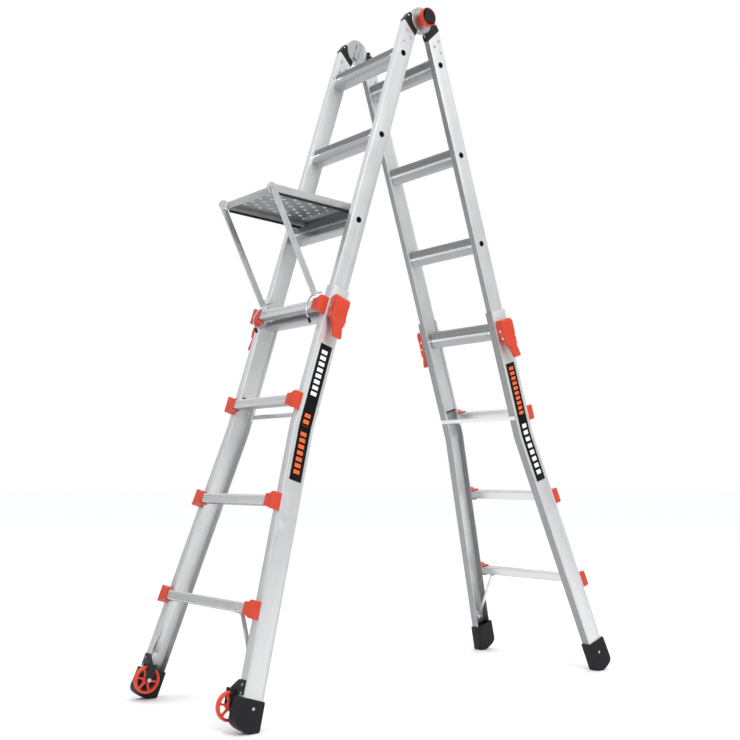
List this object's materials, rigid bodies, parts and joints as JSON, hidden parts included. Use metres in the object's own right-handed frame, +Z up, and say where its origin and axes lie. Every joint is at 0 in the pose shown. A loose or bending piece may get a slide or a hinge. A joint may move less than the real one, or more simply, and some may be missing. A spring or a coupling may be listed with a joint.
{
  "type": "multi-position ladder",
  "caption": "Telescoping A-frame ladder with flared lower rails, rocker locks, pivoting top hinges, tip-and-roll wheels and a clip-on work platform.",
  "frame": {"origin": "on the floor, at the middle of the ladder's width and of its whole front-to-back depth, 9.9 mm in front of the hinge axis's vertical plane", "axes": "+X towards the ladder's right seen from the back, along the rungs; -Y towards the front, where the platform and the wheels are; +Z up"},
  "size_m": [0.6014, 1.5597, 2.217],
  "materials": {
    "rail_aluminium": "satin mill-finish extrusion with fine lengthwise lines",
    "rung_aluminium": "satin mill-finish extrusion with fine ribs along the tread",
    "hinge_aluminium": "satin stamped plate with rounded edges",
    "deck_aluminium": "satin grey sheet with raised and pierced grip holes",
    "orange_plastic": "semi-gloss moulded orange-red nylon",
    "wheel_plastic": "semi-gloss moulded orange-red wheel",
    "black_plastic": "fine-textured moulded black nylon",
    "black_rubber": "dull black rubber",
    "black_bracket": "black powder-coated steel",
    "zinc_steel": "bright zinc-plated steel",
    "label_film": "black printed film with plain orange and white bars"
  },
  "bodies": {
    "front_inner": {"front_inner_rail_left": "rail_aluminium", "front_inner_rail_right": "rail_aluminium", "front_inner_rungs": "rung_aluminium", "front_rung_bushings": "black_plastic", "front_rail_end_plugs": "black_plastic", "front_hinge_arms": "hinge_aluminium", "front_hinge_covers": "black_plastic", "front_inner_rivets": "zinc_steel", "hinge_pivot_pins": "hinge_aluminium", "hinge_knob_rings": "orange_plastic"},
    "back_inner": {"back_inner_rail_left": "rail_aluminium", "back_inner_rail_right": "rail_aluminium", "back_inner_rungs": "rung_aluminium", "back_rung_bushings": "black_plastic", "back_rail_end_plugs": "black_plastic", "back_hinge_arms": "hinge_aluminium", "back_hinge_covers": "black_plastic", "back_inner_rivets": "zinc_steel"},
    "front_outer": {"front_outer_rail_left": "rail_aluminium", "front_outer_rail_right": "rail_aluminium", "front_outer_rungs": "rung_aluminium", "front_rung_caps": "orange_plastic", "front_crossbar": "rail_aluminium", "front_braces": "rail_aluminium", "front_side_labels": "label_film", "front_feet": "black_rubber", "front_lock_brackets": "black_bracket", "front_outer_rivets": "zinc_steel", "wheel_brackets": "black_bracket", "wheel_axles": "zinc_steel"},
    "back_outer": {"back_outer_rail_left": "rail_aluminium", "back_outer_rail_right": "rail_aluminium", "back_outer_rungs": "rung_aluminium", "back_rung_caps": "orange_plastic", "back_crossbar": "rail_aluminium", "back_braces": "rail_aluminium", "back_side_labels": "label_film", "back_feet": "black_rubber", "back_lock_brackets": "black_bracket", "back_outer_rivets": "zinc_steel"},
    "platform": {"platform_frame": "rail_aluminium", "platform_deck": "deck_aluminium", "platform_trims": "black_plastic"},
    "platform_legs": {"platform_legs": "rail_aluminium", "platform_hooks": "zinc_steel", "platform_hook_tips": "black_plastic"},
    "wheel_left": {"wheel_left": "wheel_plastic"},
    "wheel_right": {"wheel_right": "wheel_plastic"},
    "hinge_lock_left": {"hinge_button_left": "black_plastic", "hinge_lock_bar_left": "zinc_steel"},
    "hinge_lock_right": {"hinge_button_right": "black_plastic", "hinge_lock_bar_right": "zinc_steel"},
    "front_lock_lever_left": {"front_lock_lever_left": "orange_plastic"},
    "front_lock_pin_left": {"front_lock_pin_left": "zinc_steel"},
    "front_lock_lever_right": {"front_lock_lever_right": "orange_plastic"},
    "front_lock_pin_right": {"front_lock_pin_right": "zinc_steel"},
    "back_lock_lever_left": {"back_lock_lever_left": "orange_plastic"},
    "back_lock_pin_left": {"back_lock_pin_left": "zinc_steel"},
    "back_lock_lever_right": {"back_lock_lever_right": "orange_plastic"},
    "back_lock_pin_right": {"back_lock_pin_right": "zinc_steel"}
  },
  "joints": [
    {"name": "fold_hinge", "type": "hinge", "parent": "front_inner", "child": "back_inner", "pos_m": [0, 0.00993, 2.174], "axis": [1, 0, 0], "range_deg": [-35.46, 144.54]},
    {"name": "front_slide", "type": "slide", "parent": "front_inner", "child": "front_outer", "axis": [0, 0.3045, 0.9525], "range_m": [0, 0.9144]},
    {"name": "back_slide", "type": "slide", "parent": "back_inner", "child": "back_outer", "axis": [0, -0.3045, 0.9525], "range_m": [0, 0.9144]},
    {"name": "wheel_left_spin", "type": "hinge", "parent": "front_outer", "child": "wheel_left", "pos_m": [-0.2335, -0.73882, 0.06536], "axis": [1, 0, 0], "continuous": true},
    {"name": "hinge_lock_left_press", "type": "slide", "parent": "front_inner", "child": "hinge_lock_left", "axis": [1, 0, 0], "range_m": [0, 0.008], "stiffness_N_per_m": 1500},
    {"name": "wheel_right_spin", "type": "hinge", "parent": "front_outer", "child": "wheel_right", "pos_m": [0.2335, -0.73882, 0.06536], "axis": [1, 0, 0], "continuous": true},
    {"name": "hinge_lock_right_press", "type": "slide", "parent": "front_inner", "child": "hinge_lock_right", "axis": [-1, 0, 0], "range_m": [0, 0.008], "stiffness_N_per_m": 1500},
    {"name": "front_lock_lever_left_rock", "type": "hinge", "parent": "front_outer", "child": "front_lock_lever_left", "pos_m": [-0.2055, -0.35883, 1.14545], "axis": [0, -0.9525, 0.3045], "range_deg": [0, 20]},
    {"name": "front_lock_pin_left_slide", "type": "slide", "parent": "front_outer", "child": "front_lock_pin_left", "axis": [-1, 0, 0], "range_m": [0, 0.009]},
    {"name": "front_lock_lever_right_rock", "type": "hinge", "parent": "front_outer", "child": "front_lock_lever_right", "pos_m": [0.2055, -0.35883, 1.14545], "axis": [0, 0.9525, -0.3045], "range_deg": [0, 20]},
    {"name": "front_lock_pin_right_slide", "type": "slide", "parent": "front_outer", "child": "front_lock_pin_right", "axis": [1, 0, 0], "range_m": [0, 0.009]},
    {"name": "back_lock_lever_left_rock", "type": "hinge", "parent": "back_outer", "child": "back_lock_lever_left", "pos_m": [-0.2055, 0.37869, 1.14545], "axis": [0, -0.9525, -0.3045], "range_deg": [0, 20]},
    {"name": "back_lock_pin_left_slide", "type": "slide", "parent": "back_outer", "child": "back_lock_pin_left", "axis": [-1, 0, 0], "range_m": [0, 0.009]},
    {"name": "back_lock_lever_right_rock", "type": "hinge", "parent": "back_outer", "child": "back_lock_lever_right", "pos_m": [0.2055, 0.37869, 1.14545], "axis": [0, 0.9525, 0.3045], "range_deg": [0, 20]},
    {"name": "back_lock_pin_right_slide", "type": "slide", "parent": "back_outer", "child": "back_lock_pin_right", "axis": [1, 0, 0], "range_m": [0, 0.009]},
    {"name": "platform_lift", "type": "slide", "parent": "front_outer", "child": "platform", "axis": [0, -0.9525, 0.3045], "range_m": [0, 0.33]},
    {"name": "platform_legs_swing", "type": "hinge", "parent": "platform", "child": "platform_legs", "pos_m": [0, -0.55077, 1.5214], "axis": [-1, 0, 0], "range_deg": [0, 100]}
  ],
  "couplings": [
    {"joint": "front_lock_pin_left_slide", "follows": "front_lock_lever_left_rock", "m_per_rad": 0.02564},
    {"joint": "front_lock_pin_right_slide", "follows": "front_lock_lever_right_rock", "m_per_rad": 0.02564},
    {"joint": "back_lock_pin_left_slide", "follows": "back_lock_lever_left_rock", "m_per_rad": 0.02564},
    {"joint": "back_lock_pin_right_slide", "follows": "back_lock_lever_right_rock", "m_per_rad": 0.02564},
    {"joint": "platform_lift", "follows": "front_slide", "ratio": 0.35}
  ]
}
